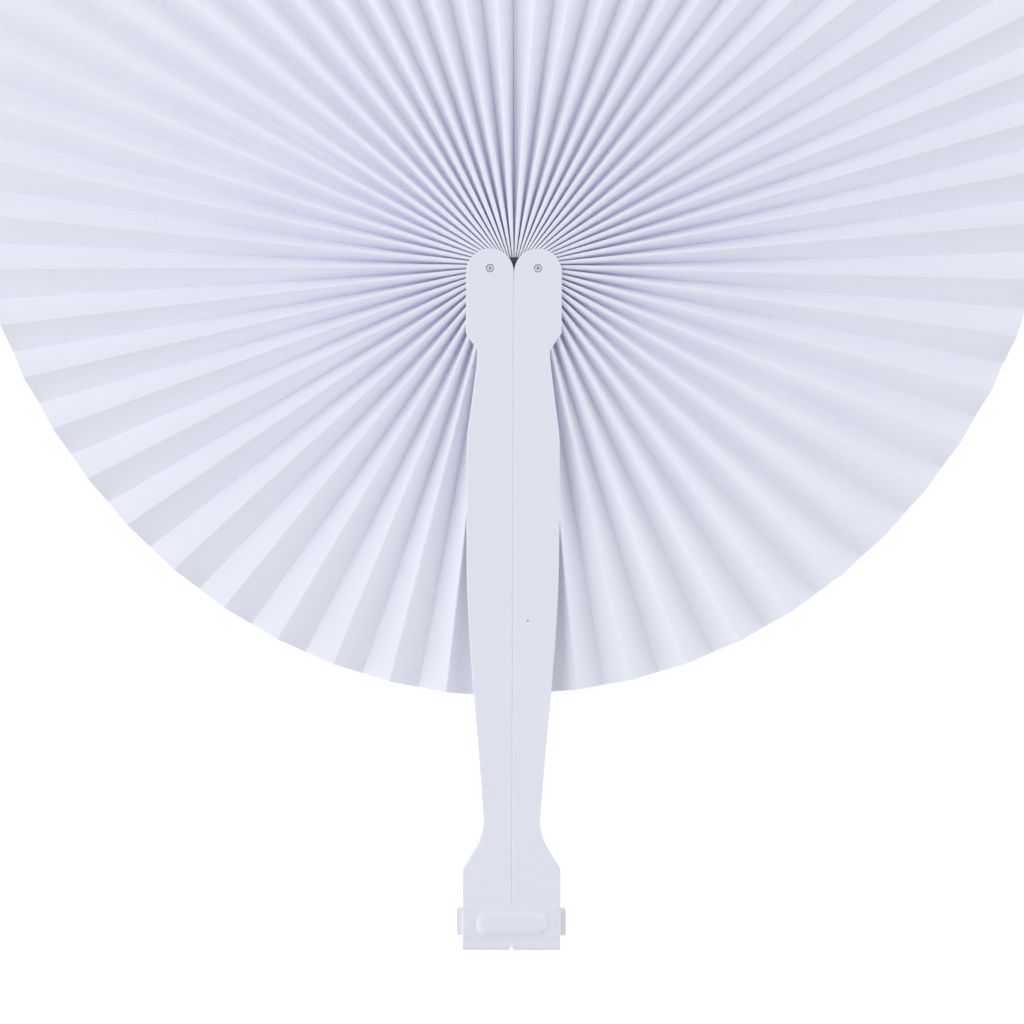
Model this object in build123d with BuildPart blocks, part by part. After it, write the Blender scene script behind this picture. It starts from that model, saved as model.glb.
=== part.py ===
from build123d import *
import math
import os

# A pleated paper fan, opened to a full round and lying on its back.
# +X is to the right, +Y runs from the handle to the top of the leaf, and +Z points up.
# The seam between the two arms lies on x = 0, and the back of the arms on z = 0.
# Distances called drop are measured from the pins towards the handle.

# Paper leaf
panel_width = 9.4  # one panel, from fold to fold, when the leaf is flat
paper = 0.075  # thickness of the sheet
reach_down = 101.6  # centre of the leaf to its outline, along the handle
reach_low = 106.7  # 45 degrees from the handle
reach_side = 125.8
reach_high = 142.5
reach_up = 143.0
open_ratio = 0.78  # mean spacing of the folds at the outer edge, as a share of panel_width
leaf_centre_rise = 1.2  # the folds aim at a point this far above the pins
gather_radius = 5.2  # the folds' inner ends stand on this circle
gather_drop = 3.05
gather_start = 75.0  # degrees from straight down, where the first free fold starts
gather_swell = -8.0
first_fold = 5.0  # degrees from straight down, at the outer edge
fold_swell = (10.5, 3.4, -1.9)  # the pleats open wider near the handle and at the top
stations = (0.0, 0.08, 0.25, 0.55, 1.0)  # shares of a fold's length where its height is set

# Arms
wall = 1.5  # front and back walls of an arm
web = 1.1  # wall beside the seam
seam_gap = 0.06
leaf_clearance = 0.3  # leaf to the front and back walls
pin_spacing = 11.3
head_drop = 0.95  # centre of the head's round
shoulder_drop = 15.3  # end of the head's straight side
shoulder_length = 4.0
neck_half = 8.55
grip_half = 10.94
neck_length = 22.7
grip_length = 22.0  # straight stretch of the grip
taper_half = 7.2
waist_length = 10.7  # from the end of the taper to the narrowest place
waist_half = 6.4
waist_round = 14.0
flare_length = 8.4
end_half = 11.55
end_length = 18.5  # the wide end of an arm
arm_reach = 160.6  # pins to the end of the arms
corner_round = 1.2
edge_round = 0.3
back_bevel = 0.3
foot_bevel = 0.4
foot_slope = 0.8
notch_half = 0.5
notch_height = 1.3
web_drop = 2.9  # top of the web, below the link plates
channel_sink = 1.1  # the channel runs this far into the wide end

# Link plates and pins
link_radius = 2.6
link_thickness = 0.8
link_clearance = 0.1
pin_radius = 0.92
pin_clearance = 0.05
pin_bevel = 0.3
hole_bevel = 0.08
dimple_radius = 0.35
dimple_depth = 0.4

# Clip round the feet of the arms
clip_lift = 3.4  # end of the arms to the clip
clip_height = 6.15
clip_wall = 0.8
clip_sink = 0.5  # depth of its seat in the front and back walls
clip_clearance = 0.05
clip_proud = 0.5
clip_round = 0.5
lug_width = 1.3
lug_inset = 2.0  # the lugs stop short of the front and the back
lug_round = 0.5
thumb_half = 8.3
thumb_height = 5.9
thumb_rise = 1.2
thumb_taper = 35.0  # degrees
thumb_corner = 2.4
thumb_round = 1.4
collar_rise = 0.35  # the arms swell towards the clip, above it and below it
collar_length = 1.7
lip_length = 0.4  # thin lips of the clip over both collars
lip_edge = 0.06

arm_depth = panel_width + 2 * (leaf_clearance + wall)
leaf_mid = arm_depth / 2
pin_half = pin_spacing / 2
seam_half = seam_gap / 2
head_radius = pin_half - seam_half  # the round of a head runs smoothly into the seam
web_face = seam_half + web
leaf_reach = (reach_down, reach_low, reach_side, reach_high, reach_up)
pin_y = (arm_reach - leaf_centre_rise - reach_up) / 2
mean_reach = sum(leaf_reach) / len(leaf_reach)
pleats = round(math.pi * mean_reach / (2 * open_ratio * panel_width))  # on each side
beyond = 2 * arm_reach  # past every outline
os.makedirs("parts", exist_ok=True)


def finish(piece, label):
    piece.part.label = label
    export_step(piece.part, f"parts/{label}.step")


# Right arm: a channel, closed beside the seam and open on its outer side
head_y = pin_y - head_drop
head_half = pin_half + head_radius
shoulder_y = pin_y - shoulder_drop
neck_y = shoulder_y - shoulder_length
grip_top_y = neck_y - neck_length
grip_end_y = grip_top_y - grip_length
foot_y = pin_y - arm_reach
end_y = foot_y + end_length
waist_y = end_y + flare_length
taper_y = waist_y + waist_length
clip_y = foot_y + clip_lift + clip_height  # top of the clip
clip_foot = clip_y - clip_height
clip_front = arm_depth + clip_proud
collars = (
    (clip_y + clip_clearance, clip_y + clip_clearance + collar_length),
    (clip_foot - clip_clearance, foot_y + foot_slope),
)
neck_swell = (grip_half - neck_half) / 3
taper_slope = (waist_half - taper_half, waist_y - taper_y)

with BuildPart() as right_arm:
    with BuildSketch() as arm_outline:
        with BuildLine():
            crown = ThreePointArc(
                (seam_half, head_y),
                (pin_half, head_y + head_radius),
                (head_half, head_y),
            )
            side = Line(crown @ 1, (head_half, shoulder_y))
            shoulder = Line(side @ 1, (neck_half, neck_y))
            neck = Spline(
                shoulder @ 1,
                (neck_half + neck_swell, neck_y - 0.36 * neck_length),
                (grip_half - neck_swell, neck_y - 0.64 * neck_length),
                (grip_half, grip_top_y),
                tangents=[(0, -1), (0, -1)],
            )
            grip = Line(neck @ 1, (grip_half, grip_end_y))
            taper = Spline(
                grip @ 1,
                (taper_half, taper_y),
                tangents=[(0, -1), taper_slope],
            )
            waist = Line(taper @ 1, (waist_half, waist_y))
            flare = Line(waist @ 1, (end_half, end_y))
            foot_side = Line(flare @ 1, (end_half, foot_y + foot_bevel))
            foot_corner = Line(foot_side @ 1, (end_half - foot_bevel, foot_y))
            foot = Line(foot_corner @ 1, (seam_half + notch_half, foot_y))
            notch = Line(foot @ 1, (seam_half, foot_y + notch_height))
            Line(notch @ 1, crown @ 0)
        make_face()
        corners = arm_outline.vertices()
        fillet(corners.sort_by_distance((waist_half, waist_y))[0], waist_round)
        for corner in [(head_half, shoulder_y), (neck_half, neck_y), (end_half, end_y)]:
            fillet(arm_outline.vertices().sort_by_distance(corner)[0], corner_round)
    extrude(amount=arm_depth)

    # the front of the foot slopes away at its end
    with BuildSketch(Plane.YZ):
        with BuildLine():
            Polyline(
                (foot_y, arm_depth - foot_slope),
                (foot_y + foot_slope, arm_depth),
                (foot_y, arm_depth),
                close=True,
            )
        make_face()
    extrude(amount=beyond, mode=Mode.SUBTRACT)
    fillet(right_arm.faces().sort_by(Axis.Z)[-1].edges(), edge_round)
    chamfer(right_arm.faces().sort_by(Axis.Z)[0].edges(), back_bevel)

    # channel for the leaf, and the open head round the gathered folds
    with BuildSketch(Plane.XY.offset(wall)):
        with Locations((web_face, end_y - channel_sink)):
            Rectangle(beyond, beyond, align=(Align.MIN, Align.MIN))
        with Locations((0, pin_y - web_drop)):
            Rectangle(beyond, beyond, align=(Align.MIN, Align.MIN))
    extrude(amount=arm_depth - 2 * wall, mode=Mode.SUBTRACT)

    # pockets for the two link plates
    pocket = link_thickness + pin_clearance
    for pocket_z in (wall - pocket, arm_depth - wall):
        with BuildSketch(Plane.XY.offset(pocket_z)):
            with Locations((0, pin_y)):
                SlotCenterToCenter(pin_spacing, 2 * (link_radius + link_clearance))
        extrude(amount=pocket, mode=Mode.SUBTRACT)

    # countersunk pin holes, from the front and from the back
    for hole_plane in (
        Plane.XY.offset(arm_depth),
        Plane(origin=(0, 0, 0), x_dir=(1, 0, 0), z_dir=(0, 0, -1)),
    ):
        with Locations(hole_plane.location):
            with Locations((pin_half, pin_y * hole_plane.y_dir.Y)):
                CounterSinkHole(
                    radius=pin_radius + pin_clearance,
                    counter_sink_radius=pin_radius + pin_clearance + hole_bevel,
                    depth=2 * wall,
                )

    # seat of the clip, all round the foot
    with BuildSketch(Plane.XZ.offset(-clip_y - clip_clearance)):
        with Locations((0, leaf_mid)):
            Rectangle(beyond, beyond)
            Rectangle(
                2 * (end_half - clip_wall - clip_clearance),
                arm_depth - 2 * (clip_sink + clip_clearance),
                mode=Mode.SUBTRACT,
            )
    extrude(amount=clip_height + 2 * clip_clearance, mode=Mode.SUBTRACT)

    # low collars that run up to the clip from above and from below
    for collar_y, far_y in collars:
        with BuildSketch(Plane.YZ.offset(seam_half)):
            with BuildLine():
                Polyline(
                    (far_y, arm_depth),
                    (collar_y, arm_depth + collar_rise),
                    (collar_y, arm_depth - clip_sink),
                    (far_y, arm_depth - clip_sink),
                    close=True,
                )
            make_face()
        extrude(amount=end_half - seam_half - edge_round)

finish(right_arm, "right_arm")

with BuildPart() as left_arm:
    mirror(right_arm.part, about=Plane.YZ)

finish(left_arm, "left_arm")


# Link plates, let into the walls of both heads
link_floor = {
    "back_link_plate": wall - link_thickness,
    "front_link_plate": arm_depth - wall,
}
for label, floor in link_floor.items():
    with BuildPart() as link_plate:
        with BuildSketch(Plane.XY.offset(floor)):
            with Locations((0, pin_y)):
                SlotCenterToCenter(pin_spacing, 2 * link_radius)
            with Locations((-pin_half, pin_y), (pin_half, pin_y)):
                Circle(pin_radius + pin_clearance, mode=Mode.SUBTRACT)
        extrude(amount=link_thickness)
    finish(link_plate, label)


# Pins, flush with the arms and dimpled
def make_pin(x, face_z, outward):
    with BuildPart() as pin:
        with BuildSketch(Plane.XZ.offset(-pin_y)):
            with BuildLine():
                Polyline(
                    (x, face_z - outward * wall),
                    (x + pin_radius, face_z - outward * wall),
                    (x + pin_radius, face_z - outward * pin_bevel),
                    (x + pin_radius - pin_bevel, face_z),
                    (x + dimple_radius, face_z),
                    (x, face_z - outward * dimple_depth),
                    close=True,
                )
            make_face()
        revolve(axis=Axis((x, pin_y, 0), (0, 0, 1)))
    return pin


for side_name, x in (("left", -pin_half), ("right", pin_half)):
    finish(make_pin(x, arm_depth, 1), f"{side_name}_front_pin")
    finish(make_pin(x, 0, -1), f"{side_name}_back_pin")


# Clip: a band let into both feet, with a thumb bar in front and a lug on each side
with BuildPart() as clip:
    with BuildSketch(Plane.XZ.offset(-clip_y)):
        with Locations((0, clip_front / 2)):
            RectangleRounded(2 * end_half, clip_front, clip_round)
        with Locations((0, leaf_mid)):
            Rectangle(2 * (end_half + lug_width), arm_depth - 2 * lug_inset)
            Rectangle(
                2 * (end_half - clip_wall),
                arm_depth - 2 * clip_sink,
                mode=Mode.SUBTRACT,
            )
    extrude(amount=clip_height)
    lug_ends = clip.faces().filter_by(Axis.X).group_by(Axis.X)
    lug_edges = lug_ends[0].edges() + lug_ends[-1].edges()
    fillet(lug_edges.filter_by(Axis.Z), lug_round)

    # thin lips that cover the gaps to the collars
    lip_under = arm_depth + collar_rise + clip_clearance
    for (collar_y, far_y), start_y in zip(collars, (clip_y, clip_foot)):
        way = math.copysign(1, far_y - collar_y)
        fall = collar_rise * lip_length / abs(far_y - collar_y)
        tip_y = start_y + way * lip_length
        with BuildSketch(Plane.YZ):
            with BuildLine():
                Polyline(
                    (start_y, clip_front),
                    (tip_y, lip_under + lip_edge - fall),
                    (tip_y, lip_under - fall),
                    (start_y, lip_under),
                    close=True,
                )
            make_face()
        extrude(amount=end_half - 2 * clip_round, both=True)

    with BuildSketch(Plane.XY.offset(clip_front)):
        with Locations((0, clip_foot + thumb_height / 2)):
            RectangleRounded(2 * thumb_half, thumb_height, thumb_corner)
    extrude(amount=thumb_rise, taper=thumb_taper)
    fillet(clip.faces().sort_by(Axis.Z)[-1].edges(), thumb_round)

finish(clip, "clip")


# Paper leaf: one sheet, folded to and fro, with one glued flap at each end.
# A fold is a line from its place on the gather circle to its place on the leaf's outline.
def reach_at(angle):
    # smooth closed curve through the five stated reaches, the same on both sides
    last = len(leaf_reach) - 1
    total = 0.0
    for k in range(last + 1):
        share = sum(
            (0.5 if j in (0, last) else 1.0) * r * math.cos(k * j * math.pi / last)
            for j, r in enumerate(leaf_reach)
        )
        total += (1 if k in (0, last) else 2) / last * share * math.cos(k * angle)
    return total


def fold_ends(index):
    # folds 0 and 1 are the glued flap's edges, and the last one is the middle of the leaf
    flap_x = web_face + paper / 2
    if index < 2:
        gather_y = pin_y - gather_drop - math.sqrt(gather_radius**2 - flap_x**2)
        edge_y = pin_y + leaf_centre_rise - reach_at(0)
        return Vector(flap_x, gather_y), Vector(flap_x, edge_y)
    share = (index - 2) / (2 * pleats)
    swell = sum(a * math.sin((k + 1) * math.pi * share) for k, a in enumerate(fold_swell))
    outer = math.radians(first_fold + (180 - first_fold) * share + swell)
    inner = math.radians(
        gather_start
        + (180 - gather_start) * share
        + gather_swell * math.sin(math.pi * share)
    )
    reach = reach_at(outer)
    return (
        Vector(
            gather_radius * math.sin(inner),
            pin_y - gather_drop - gather_radius * math.cos(inner),
        ),
        Vector(
            reach * math.sin(outer),
            pin_y + leaf_centre_rise - reach * math.cos(outer),
        ),
    )


middle_fold = 2 * pleats + 2
last_fold = 2 * middle_fold
right_folds = [fold_ends(index) for index in range(middle_fold + 1)]
left_folds = [
    (Vector(-inner.X, inner.Y), Vector(-outer.X, outer.Y))
    for inner, outer in reversed(right_folds[:-1])
]
folds = right_folds + left_folds


def fold_at(index, station):
    inner, outer = folds[index]
    return inner + (outer - inner) * station


def fold_section(index, station):
    # four corners of the sheet at a fold: front left, front right, back left, back right
    here = fold_at(index, station)
    if index in (0, 1, last_fold - 1, last_fold):
        across = Vector(1, 0)
        near = 2 if index < 2 else last_fold - 2
        spacing = (fold_at(near, station) - here).length
    else:
        span = fold_at(index + 1, station) - fold_at(index - 1, station)
        across = span.normalized()
        spacing = span.length / 2
    height = math.sqrt(panel_width**2 - min(spacing, 0.98 * panel_width) ** 2)
    depth = paper * (panel_width - height / 2) / max(spacing - paper, paper)
    crotch = height / 2 - min(depth, 0.45 * height)
    half = across * (paper / 2)
    up = Vector(0, 0, height / 2)
    inside = Vector(0, 0, crotch)
    base = here + Vector(0, 0, leaf_mid)
    if index == 0:
        edge = base - up
        return edge - half, edge - half, edge + half, edge + half
    if index == last_fold:
        edge = base - up
        return edge + half, edge + half, edge - half, edge - half
    if index % 2:
        return base + up - half, base + up + half, base + inside, base + inside
    return base - inside, base - inside, base - up - half, base - up + half


sections = [[fold_section(i, s) for s in stations] for i in range(last_fold + 1)]
leaf_faces = []


def facet(*corners):
    leaf_faces.append(Face(Wire.make_polygon(corners, close=True)))


def strip(first, second):
    # two rows of points joined by pairs of flat triangles
    for k in range(len(first) - 1):
        facet(first[k], first[k + 1], second[k + 1])
        facet(first[k], second[k + 1], second[k])


def row(index, corner):
    return [section[corner] for section in sections[index]]


for index in range(last_fold):
    strip(row(index, 1), row(index + 1, 0))
    strip(row(index, 3), row(index + 1, 2))
    for end in (0, -1):
        here, there = sections[index][end], sections[index + 1][end]
        facet(here[1], there[0], there[2])
        facet(here[1], there[2], here[3])
for index in range(1, last_fold):
    front_left, front_right, back_left, back_right = (row(index, c) for c in range(4))
    if index % 2:
        strip(front_left, front_right)
    else:
        strip(back_left, back_right)
    for end in (0, -1):
        if index % 2:
            facet(front_left[end], front_right[end], back_left[end])
        else:
            facet(front_left[end], back_left[end], back_right[end])
for index in (0, last_fold):
    strip(row(index, 0), row(index, 2))

with BuildPart() as paper_leaf:
    add(Solid(Shell(leaf_faces)))

finish(paper_leaf, "paper_leaf")
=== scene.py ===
import math
import random
import bmesh
import bpy
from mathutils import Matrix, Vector, noise


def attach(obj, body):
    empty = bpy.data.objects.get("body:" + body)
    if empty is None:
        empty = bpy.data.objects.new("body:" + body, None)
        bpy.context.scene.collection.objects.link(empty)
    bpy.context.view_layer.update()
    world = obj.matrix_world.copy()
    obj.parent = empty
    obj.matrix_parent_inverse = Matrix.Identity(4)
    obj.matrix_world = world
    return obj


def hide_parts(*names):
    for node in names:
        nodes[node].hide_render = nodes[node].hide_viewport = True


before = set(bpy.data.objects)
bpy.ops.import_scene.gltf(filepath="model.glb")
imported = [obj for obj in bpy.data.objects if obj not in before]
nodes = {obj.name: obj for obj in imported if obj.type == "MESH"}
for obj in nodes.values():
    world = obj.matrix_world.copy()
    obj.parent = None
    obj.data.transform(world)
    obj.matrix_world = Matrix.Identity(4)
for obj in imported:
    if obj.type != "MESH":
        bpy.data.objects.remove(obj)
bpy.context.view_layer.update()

scene = bpy.context.scene
mm = 0.001

# A pleated paper fan, opened to a full round and lying on its back.
# The seam between the arms is x = 0, and +Y runs from the handle to the top of the leaf.
# The fan's own sizes are in millimetres, and its angles in degrees, from straight down.
pinY = 8.2  # the line on which both pins stand


def linearColour(red, green, blue):
    # screen values from 0 to 255, as the linear colour that a socket takes
    channels = [c / 255 for c in (red, green, blue)]
    return [c / 12.92 if c <= 0.04045 else ((c + 0.055) / 1.055) ** 2.4 for c in channels] + [1]


def addNode(tree, kind, values=None, links=None, **settings):
    # values: input -> constant, links: input -> output socket, settings: the node's own options
    node = tree.nodes.new(kind)
    for option, setting in settings.items():
        setattr(node, option, setting)
    for key, value in (values or {}).items():
        node.inputs[key].default_value = value
    for key, socket in (links or {}).items():
        tree.links.new(socket, node.inputs[key])
    return node


# Tone and grain, which all the finishes share
mottle = {
    "cloudDetail": 4.0,
    "cloudRoughness": 0.55,
    "grainDetail": 5.0,
    "grainRoughness": 0.6,
    "grainShare": 0.35,  # how much of the grain shows in the tone
    "toneStart": 0.45,
    "toneEnd": 0.9,
}


def makeMottle():
    # cloudy change of tone over a surface, and fine grain, from one set of coordinates
    group = bpy.data.node_groups.new("toneAndGrain", "ShaderNodeTree")
    sockets = (
        ("INPUT", "Coordinates", "NodeSocketVector"),
        ("INPUT", "Cloud Scale", "NodeSocketFloat"),
        ("INPUT", "Grain Scale", "NodeSocketFloat"),
        ("INPUT", "Light", "NodeSocketColor"),
        ("INPUT", "Dark", "NodeSocketColor"),
        ("INPUT", "Rough", "NodeSocketFloat"),
        ("INPUT", "Rough Change", "NodeSocketFloat"),
        ("OUTPUT", "Colour", "NodeSocketColor"),
        ("OUTPUT", "Roughness", "NodeSocketFloat"),
        ("OUTPUT", "Height", "NodeSocketFloat"),
    )
    for way, socketName, kind in sockets:
        group.interface.new_socket(socketName, in_out=way, socket_type=kind)
    source = group.nodes.new("NodeGroupInput").outputs
    target = group.nodes.new("NodeGroupOutput").inputs
    cloud = addNode(
        group,
        "ShaderNodeTexNoise",
        {"Detail": mottle["cloudDetail"], "Roughness": mottle["cloudRoughness"]},
        {"Vector": source["Coordinates"], "Scale": source["Cloud Scale"]},
    )
    grain = addNode(
        group,
        "ShaderNodeTexNoise",
        {"Detail": mottle["grainDetail"], "Roughness": mottle["grainRoughness"]},
        {"Vector": source["Coordinates"], "Scale": source["Grain Scale"]},
    )
    both = addNode(
        group,
        "ShaderNodeMath",
        {1: mottle["grainShare"]},
        {0: grain.outputs["Fac"], 2: cloud.outputs["Fac"]},
        operation="MULTIPLY_ADD",
    )
    spread = addNode(
        group,
        "ShaderNodeMapRange",
        {"From Min": mottle["toneStart"], "From Max": mottle["toneEnd"]},
        {"Value": both.outputs[0]},
    )
    tone = addNode(
        group,
        "ShaderNodeMix",
        links={0: spread.outputs["Result"], 6: source["Dark"], 7: source["Light"]},
        data_type="RGBA",
    )
    rough = addNode(
        group,
        "ShaderNodeMath",
        links={0: grain.outputs["Fac"], 1: source["Rough Change"], 2: source["Rough"]},
        operation="MULTIPLY_ADD",
    )
    group.links.new(tone.outputs[2], target["Colour"])
    group.links.new(rough.outputs[0], target["Roughness"])
    group.links.new(grain.outputs["Fac"], target["Height"])
    return group


toneAndGrain = makeMottle()


def startMaterial(name):
    material = bpy.data.materials.new(name)
    material.use_nodes = True
    tree = material.node_tree
    tree.nodes.clear()
    shader = tree.nodes.new("ShaderNodeBsdfPrincipled")
    output = tree.nodes.new("ShaderNodeOutputMaterial")
    tree.links.new(shader.outputs["BSDF"], output.inputs["Surface"])
    return material, tree, shader


def makeFinish(name, look, paint=None):
    # base colour, roughness and bump come from the shared group, and paint adds marks to the colour
    material, tree, shader = startMaterial(name)
    place = tree.nodes.new("ShaderNodeTexCoord").outputs["Object"]
    surface = addNode(
        tree,
        "ShaderNodeGroup",
        {
            "Cloud Scale": look["cloudScale"],
            "Grain Scale": look["grainScale"],
            "Light": linearColour(*look["light"]),
            "Dark": linearColour(*look["dark"]),
            "Rough": look["rough"],
            "Rough Change": look["roughChange"],
        },
        {"Coordinates": place},
        node_tree=toneAndGrain,
    )
    bump = addNode(
        tree,
        "ShaderNodeBump",
        {"Strength": look["bump"], "Distance": look["bumpDepth"] * mm},
        {"Height": surface.outputs["Height"]},
    )
    colour = surface.outputs["Colour"]
    if paint:
        colour = paint(tree, place, colour)
    tree.links.new(colour, shader.inputs["Base Color"])
    tree.links.new(surface.outputs["Roughness"], shader.inputs["Roughness"])
    tree.links.new(bump.outputs["Normal"], shader.inputs["Normal"])
    shader.inputs["Metallic"].default_value = look["metallic"]
    return material


def paintRound(tree, distance, radii, inside, paintColour, colour):
    # paint with a soft edge between two radii, on the inner side where inside is 1, else outside
    mask = addNode(
        tree,
        "ShaderNodeMapRange",
        {
            "From Min": radii[0] * mm,
            "From Max": radii[1] * mm,
            "To Min": inside,
            "To Max": 1 - inside,
        },
        {"Value": distance},
        interpolation_type="SMOOTHSTEP",
    )
    mix = addNode(
        tree,
        "ShaderNodeMix",
        {7: linearColour(*paintColour)},
        {0: mask.outputs["Result"], 6: colour},
        data_type="RGBA",
    )
    return mix.outputs[2]


paperLook = {
    "light": (251, 251, 253),
    "dark": (249, 249, 252),
    "metallic": 0.0,
    "cloudScale": 45.0,
    "grainScale": 2600.0,
    "rough": 0.62,
    "roughChange": 0.16,
    "bump": 0.25,
    "bumpDepth": 0.03,
}
paperFinish = makeFinish("leafPaper", paperLook)

# the link plates' dark brown matches the shade in the hollow between the heads: partly the plates'
# own colour, partly painted shade
linkShadeLook = {
    "light": (78, 62, 62),
    "dark": (60, 46, 47),
    "metallic": 0.0,
    "cloudScale": 400.0,
    "grainScale": 3000.0,
    "rough": 0.45,
    "roughChange": 0.2,
    "bump": 0.3,
    "bumpDepth": 0.03,
}
linkShadeFinish = makeFinish("linkPlasticPaintedShade", linkShadeLook)

plasticLook = {
    "light": (248, 248, 249),
    "dark": (245, 245, 247),
    "metallic": 0.0,
    "cloudScale": 38.0,
    "grainScale": 1500.0,
    "rough": 0.36,
    "roughChange": 0.12,
    "bump": 0.2,
    "bumpDepth": 0.02,
    "speck": (120, 116, 120),
    "speckPlace": (3.6, -74.8, 13.0),
    "speckRadii": (0.112, 0.28),
}


def paintSpeck(tree, place, colour):
    # the small dark speck on the right arm
    middle = [v * mm for v in plasticLook["speckPlace"]]
    away = addNode(tree, "ShaderNodeVectorMath", {1: middle}, {0: place}, operation="DISTANCE")
    distance = away.outputs["Value"]
    return paintRound(tree, distance, plasticLook["speckRadii"], 1, plasticLook["speck"], colour)


plasticFinish = makeFinish("armPlastic", plasticLook, paintSpeck)

pinLook = {
    "light": (246, 247, 249),
    "dark": (238, 239, 242),
    "metallic": 0.6,
    "cloudScale": 900.0,
    "grainScale": 5000.0,
    "rough": 0.3,
    "roughChange": 0.15,
    "bump": 0.2,
    "bumpDepth": 0.01,
    # painted shade round the pin's turned-down edge
    "rimShade": (220, 222, 226),
    "rimShadeRadii": (0.55, 0.8),
    # painted shade in the pin's dimple
    "dimpleShade": (172, 174, 178),
    "dimpleShadeRadii": (0.14, 0.36),
    "across": 5.65,  # from the seam to the middle of a pin
}


def paintPinShade(tree, place, colour):
    # painted shade: a grey ring round the turned-down edge of each pin, and a dark dot in its
    # dimple, where shade falls
    split = addNode(tree, "ShaderNodeSeparateXYZ", links={0: place})
    across = addNode(tree, "ShaderNodeMath", links={0: split.outputs["X"]}, operation="ABSOLUTE")
    flat = addNode(tree, "ShaderNodeCombineXYZ", links={0: across.outputs[0], 1: split.outputs["Y"]})
    middle = (pinLook["across"] * mm, pinY * mm, 0)
    away = addNode(
        tree, "ShaderNodeVectorMath", {1: middle}, {0: flat.outputs[0]}, operation="DISTANCE"
    )
    distance = away.outputs["Value"]
    for part, inside in (("rimShade", 0), ("dimpleShade", 1)):
        colour = paintRound(tree, distance, pinLook[part + "Radii"], inside, pinLook[part], colour)
    return colour


pinFinish = makeFinish("pinMetal", pinLook, paintPinShade)
print("finishes made")

finishes = (
    (plasticFinish, ("left_arm", "right_arm", "clip")),
    (linkShadeFinish, ("front_link_plate", "back_link_plate")),
    (pinFinish, ("left_front_pin", "right_front_pin", "left_back_pin", "right_back_pin")),
)
for finish, names in finishes:
    for name in names:
        nodes[name].data.materials.clear()
        nodes[name].data.materials.append(finish)
print("finishes on the arms, clip, link plates and pins")

# Paper leaf: folds are straight lines from the gather round the pins to the outline
leaf = {
    "panelWidth": 9.4,  # from fold to fold, with the paper laid flat
    "sheet": 0.09,
    "middleZ": 6.5,
    "pleats": 27,  # on each side
    "centreRise": 1.2,  # the folds aim at a point this far above the pins
    "gatherRadius": 5.2,  # the folds' inner ends stand on this circle
    "gatherDrop": 3.05,  # from the pins down to the middle of that circle
    "firstFold": 5.0,
    "flapX": 1.1675,  # the glued end flaps stand on edge at this place
    "leastFold": 0.98,  # a panel never lies flatter than this share of its width
    "rows": 32,  # steps along a fold, crowded towards the hub
    "rowCrowding": 1.5,
    "crestRadii": (0.45, 0.2),  # at the hub and at the edge
    "crestShare": 0.55,  # most that a crest takes of the way to the next fold
    "valleyRadius": 0.12,
    "valleyShare": 0.2,
    "creaseSteps": 3,
    "flatSteps": 2,
    "shutSpacing": 0.02,  # folds closer than this have no round creases
    "angleJitter": 0.12,
    "jitterRise": 4.0,  # the jitter fades out at the handle and at the top
    "heightJitter": 0.035,
    "seed": 7,
    "waviness": 0.12,
    "waveLength": 28.0,
    "waveRise": 3.0,  # the waves fade out towards the hub
    "wavePlace": 40.0,  # where the first panel reads its waves from
    "waveStep": 3.7,  # how far on the next panel reads them
    "middleLean": 0.31,  # the middle fold leans to the left
    "topFolds": 6.0,  # the top spread dies away over about this many folds
    "cutAngle": 60.0,  # edges sharper than this aren't smoothed over
}
# The two halves differ a little. A reach is the outline's distance from the folds' centre at
# 0, 45, 90, 135 and 180 degrees, and a swell bends the even spacing of the folds by sine waves.
sides = {
    "right": {
        "reach": (101.4, 106.3, 124.3, 144.0, 143.0),
        "outerSwell": (6.85, 2.95, -1.0, 0.0, -0.45, 0.5, -0.4),
        "innerStart": 67.6,
        "innerSwell": (16.4, 8.2, -0.5),
        "topSpread": 0.6,
    },
    "left": {
        "reach": (102.2, 107.3, 126.2, 145.5, 143.0),
        "outerSwell": (8.35, 2.75, -0.4, -0.1, -0.6, 0.2, -0.3, 0.1),
        "innerStart": 71.6,
        "innerSwell": (12.8, 7.0, -1.55),
        "topSpread": 0.0,
    },
}
middleFold = 2 * leaf["pleats"] + 2
lastFold = 2 * middleFold
panelSteps = 2 * leaf["creaseSteps"] + leaf["flatSteps"]
chance = random.Random(leaf["seed"])
angleShifts = [chance.uniform(-1, 1) * leaf["angleJitter"] for _ in range(lastFold + 1)]
heightShares = [1 + chance.uniform(-1, 1) * leaf["heightJitter"] for _ in range(lastFold + 1)]


def reachAt(reach, angle):
    # smooth curve through the reaches, at an angle in radians
    last = len(reach) - 1
    total = 0.0
    for k in range(last + 1):
        share = sum(
            (0.5 if j in (0, last) else 1.0) * r * math.cos(k * j * math.pi / last)
            for j, r in enumerate(reach)
        )
        total += (1 if k in (0, last) else 2) / last * share * math.cos(k * angle)
    return total


def swellAt(swell, share):
    return sum(a * math.sin((k + 1) * math.pi * share) for k, a in enumerate(swell))


def pointAround(centreY, sign, radius, angle):
    # a point at an angle from straight down, to the right where sign is 1
    return Vector((sign * radius * math.sin(angle), centreY - radius * math.cos(angle), 0))


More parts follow.
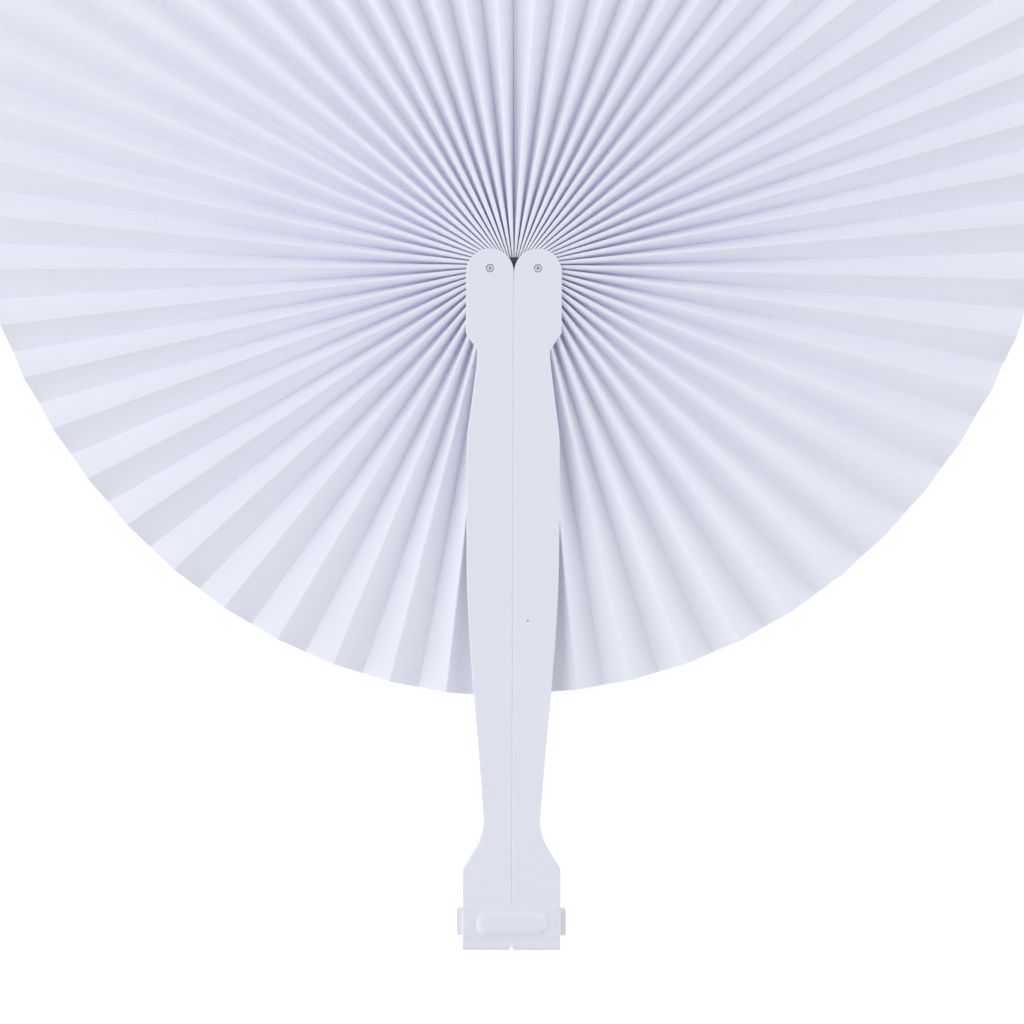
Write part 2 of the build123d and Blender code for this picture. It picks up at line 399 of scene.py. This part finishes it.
def foldEnds(index):
    # inner and outer end of a fold, counted from the right arm round to the left arm
    onRight = index <= middleFold
    sign = 1 if onRight else -1
    side = sides["right" if onRight else "left"]
    step = index if onRight else lastFold - index
    gatherY = pinY - leaf["gatherDrop"]
    centreY = pinY + leaf["centreRise"]
    if step < 2:
        x = sign * leaf["flapX"]
        innerY = gatherY - math.sqrt(leaf["gatherRadius"] ** 2 - x**2)
        outerY = centreY - reachAt(side["reach"], 0)
        return Vector((x, innerY, 0)), Vector((x, outerY, 0))
    share = (step - 2) / (2 * leaf["pleats"])
    jitter = min(1, leaf["jitterRise"] * math.sin(math.pi * share))
    outer = leaf["firstFold"] + (180 - leaf["firstFold"]) * share
    outer += swellAt(side["outerSwell"], share) + angleShifts[index] * jitter
    # folds to the right of the middle one stand a little wider
    apart = abs(index - middleFold)
    spread = side["topSpread"] * math.exp((1 - apart) / leaf["topFolds"])
    outer += leaf["middleLean"] if apart == 0 else -spread
    inner = side["innerStart"] + (180 - side["innerStart"]) * share
    inner += swellAt(side["innerSwell"], share)
    outer, inner = math.radians(outer), math.radians(inner)
    return (
        pointAround(gatherY, sign, leaf["gatherRadius"], inner),
        pointAround(centreY, sign, reachAt(side["reach"], outer), outer),
    )


folds = [foldEnds(index) for index in range(lastFold + 1)]


def foldPlace(index, station):
    # a fold's place at a share of its length, with no height
    inner, outer = folds[index]
    return inner.lerp(outer, station)


def foldPoint(index, station):
    # the same place, with its height in the pleat
    here = foldPlace(index, station)
    if index < 2:
        spacing = (foldPlace(2, station) - here).length
    elif index > lastFold - 2:
        spacing = (foldPlace(lastFold - 2, station) - here).length
    else:
        spacing = (foldPlace(index + 1, station) - foldPlace(index - 1, station)).length / 2
    width = leaf["panelWidth"]
    height = math.sqrt(width**2 - min(spacing, leaf["leastFold"] * width) ** 2)
    height *= 1 - (1 - heightShares[index]) * station
    here.z = leaf["middleZ"] + (height / 2 if index % 2 else -height / 2)
    return here


def panelPoint(index, step, station):
    # one point across the panel after fold index: a round crease, a flat stretch, a round crease
    start, end = foldPoint(index, station), foldPoint(index + 1, station)
    span = Vector((end.x - start.x, end.y - start.y, 0))
    spacing = span.length
    rising = start.z < end.z
    depth = abs(start.z - end.z)
    if spacing < leaf["shutSpacing"]:
        return start.lerp(end, step / panelSteps)
    # crests are rounder near the hub, valleys are pressed sharp all the way
    near, far = leaf["crestRadii"]
    crest = min(near + (far - near) * station, leaf["crestShare"] * spacing)
    valley = min(leaf["valleyRadius"], leaf["valleyShare"] * spacing)
    drop = depth - crest - valley
    lean = math.atan2(drop, spacing) + math.asin((crest + valley) / math.hypot(spacing, drop))

    def onCrest(turn):
        return Vector((crest * math.sin(turn), depth - crest + crest * math.cos(turn)))

    def onValley(turn):
        return Vector((spacing - valley * math.sin(turn), valley - valley * math.cos(turn)))

    # the panel is worked out from its crest down, and turned round where it rises
    stepDown = panelSteps - step if rising else step
    if stepDown <= leaf["creaseSteps"]:
        along, height = onCrest(lean * stepDown / leaf["creaseSteps"])
    elif stepDown >= leaf["creaseSteps"] + leaf["flatSteps"]:
        along, height = onValley(lean * (panelSteps - stepDown) / leaf["creaseSteps"])
    else:
        share = (stepDown - leaf["creaseSteps"]) / leaf["flatSteps"]
        along, height = onCrest(lean).lerp(onValley(lean), share)
    share = 1 - along / spacing if rising else along / spacing
    here = start + span * share
    here.z = min(start.z, end.z) + height
    # slight waves, which are strongest in the middle of the panel
    place = Vector((here.x, here.y, leaf["wavePlace"] + index * leaf["waveStep"]))
    wave = noise.noise(place / leaf["waveLength"]) * leaf["waviness"]
    here.z += wave * 4 * share * (1 - share) * min(1, leaf["waveRise"] * station)
    return here


def stationAt(row):
    return (row / leaf["rows"]) ** leaf["rowCrowding"]


def meshOf(name, bm, material):
    mesh = bpy.data.meshes.new(name)
    bm.to_mesh(mesh)
    bm.free()
    mesh.materials.append(material)
    return mesh


def addObject(name, data):
    added = bpy.data.objects.new(name, data)
    scene.collection.objects.link(added)
    return added


def makePaper(name, columns, place):
    # a flat grid is folded into place and given the sheet's thickness
    bm = bmesh.new()
    rows = leaf["rows"]
    bmesh.ops.create_grid(bm, x_segments=columns, y_segments=rows, size=0.5)
    for vert in bm.verts:
        column = round((vert.co.x + 0.5) * columns)
        row = round((vert.co.y + 0.5) * rows)
        vert.co = place(column, stationAt(row))
    bmesh.ops.recalc_face_normals(bm, faces=bm.faces)
    bmesh.ops.scale(bm, vec=(mm, mm, mm), verts=bm.verts)
    piece = addObject(name, meshOf(name, bm, paperFinish))
    piece.data.polygons.foreach_set("use_smooth", [True] * len(piece.data.polygons))
    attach(piece, "root")
    solid = piece.modifiers.new("sheet", "SOLIDIFY")
    solid.thickness = leaf["sheet"] * mm
    solid.offset = 0
    solid.use_rim = True
    # the cut edges of the paper stay sharp
    split = piece.modifiers.new("cutEdges", "EDGE_SPLIT")
    split.split_angle = math.radians(leaf["cutAngle"])
    return piece


def leafPlace(column, station):
    panel = min(column // panelSteps, lastFold - 1)
    return panelPoint(panel, column - panel * panelSteps, station)


foldedLeaf = makePaper("foldedLeaf", lastFold * panelSteps, leafPlace)
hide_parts("paper_leaf")
print("leaf folded:", lastFold, "panels,", len(foldedLeaf.data.polygons), "faces")

# Narrow glued lap beside the middle valley, where the two strips of paper meet
lap = {
    "start": 0.1,  # share of its width that stays clear of the valley
    "width": 0.13,  # share of the way up to the crest's round
    "rise": 0.2,
    "columns": 2,
}


def lapPlace(column, station):
    valley = panelPoint(middleFold - 1, panelSteps, station)
    crest = panelPoint(middleFold - 1, leaf["creaseSteps"], station)
    across = lap["start"] + (1 - lap["start"]) * column / lap["columns"]
    here = valley.lerp(crest, lap["width"] * across)
    here.z += lap["rise"]
    return here


makePaper("gluedLap", lap["columns"], lapPlace)
print("lap glued on")

# Floor, light and camera, in metres
stage = {
    "floorSize": 4.0,
    "floorColour": (0.86, 0.86, 0.87, 1),
    "floorRoughness": 0.9,
    "floorGlow": 0.55,
    "skyLevel": 0.69,
    "skyColour": (0.965, 1.0, 1.10),
    "skyBase": 0.525,  # its share above, below and across the bright axis
    "skySides": 1.9,  # what is added to that share at the ends of the bright axis
    "skyTurn": 20.0,  # degrees from +X to the bright axis
    "keyDirection": (-0.48, 0.34, 0.8),
    "keyDistance": 2.0,
    "keySize": 1.0,
    "keyPower": 7.2,
    "keyColour": (0.975, 1.0, 1.08),
    "lightBounces": 64,
    "cameraPlace": (-0.00024, -0.0492, 1.45),
    "cameraRoll": 0.23,
    "clipRange": (0.05, 20.0),
    "lens": 214.6,  # in millimetres, as the sensor is
    "sensor": 36.0,
}


def seenMask(tree, otherRay):
    # 1 where the camera looks, straight or by the other kind of ray, and 0 for light on the fan
    path = tree.nodes.new("ShaderNodeLightPath").outputs
    links = {0: path["Is Camera Ray"], 1: path[otherRay]}
    return addNode(tree, "ShaderNodeMath", links=links, operation="MAXIMUM").outputs[0]


def makeFloor():
    material, tree, shader = startMaterial("whiteFloor")
    shader.inputs["Base Color"].default_value = stage["floorColour"]
    shader.inputs["Roughness"].default_value = stage["floorRoughness"]
    shader.inputs["Emission Color"].default_value = (1, 1, 1, 1)
    glow = addNode(
        tree,
        "ShaderNodeMath",
        {1: stage["floorGlow"]},
        {0: seenMask(tree, "Is Glossy Ray")},
        operation="MULTIPLY",
    )
    tree.links.new(glow.outputs[0], shader.inputs["Emission Strength"])
    bm = bmesh.new()
    bmesh.ops.create_grid(bm, x_segments=1, y_segments=1, size=stage["floorSize"] / 2)
    addObject("floor", meshOf("floor", bm, material))


def makeWorld():
    world = bpy.data.worlds.new("studio")
    scene.world = world
    world.use_nodes = True
    tree = world.node_tree
    tree.nodes.clear()
    seen = seenMask(tree, "Is Transmission Ray")
    level = addNode(
        tree,
        "ShaderNodeMix",
        {6: [c * stage["skyLevel"] for c in stage["skyColour"]] + [1], 7: (1, 1, 1, 1)},
        {0: seen},
        data_type="RGBA",
    )
    # brighter towards both ends of an axis from left to right, which opens the pleats there
    way = tree.nodes.new("ShaderNodeTexCoord").outputs["Generated"]
    turn = math.radians(stage["skyTurn"])
    axis = (math.cos(turn), math.sin(turn), 0)
    along = addNode(tree, "ShaderNodeVectorMath", {1: axis}, {0: way}, operation="DOT_PRODUCT")
    side = along.outputs["Value"]
    square = addNode(tree, "ShaderNodeMath", links={0: side, 1: side}, operation="MULTIPLY")
    spread = addNode(
        tree,
        "ShaderNodeMath",
        {1: stage["skySides"], 2: stage["skyBase"]},
        {0: square.outputs[0]},
        operation="MULTIPLY_ADD",
    )
    strength = addNode(
        tree, "ShaderNodeMix", {3: 1.0}, {0: seen, 2: spread.outputs[0]}, data_type="FLOAT"
    )
    links = {"Color": level.outputs[2], "Strength": strength.outputs[0]}
    sky = addNode(tree, "ShaderNodeBackground", links=links)
    output = tree.nodes.new("ShaderNodeOutputWorld")
    tree.links.new(sky.outputs["Background"], output.inputs["Surface"])


def makeLamp():
    light = bpy.data.lights.new("softLight", "AREA")
    light.size = stage["keySize"]
    light.energy = stage["keyPower"]
    light.color = stage["keyColour"]
    lamp = addObject("softLight", light)
    towards = Vector(stage["keyDirection"]).normalized()
    lamp.location = towards * stage["keyDistance"]
    lamp.rotation_euler = towards.to_track_quat("Z", "Y").to_euler()


def makeCamera():
    lensData = bpy.data.cameras.new("camera")
    lensData.lens = stage["lens"]
    lensData.sensor_width = stage["sensor"]
    lensData.clip_start, lensData.clip_end = stage["clipRange"]
    camera = addObject("camera", lensData)
    camera.location = stage["cameraPlace"]
    camera.rotation_euler = (0, 0, math.radians(stage["cameraRoll"]))
    scene.camera = camera


makeFloor()
makeWorld()
makeLamp()
makeCamera()
# light has to get in and out between the pleats of white paper
scene.cycles.max_bounces = stage["lightBounces"]
scene.cycles.diffuse_bounces = stage["lightBounces"]
scene.view_settings.view_transform = "Standard"
print("floor, light and camera set")
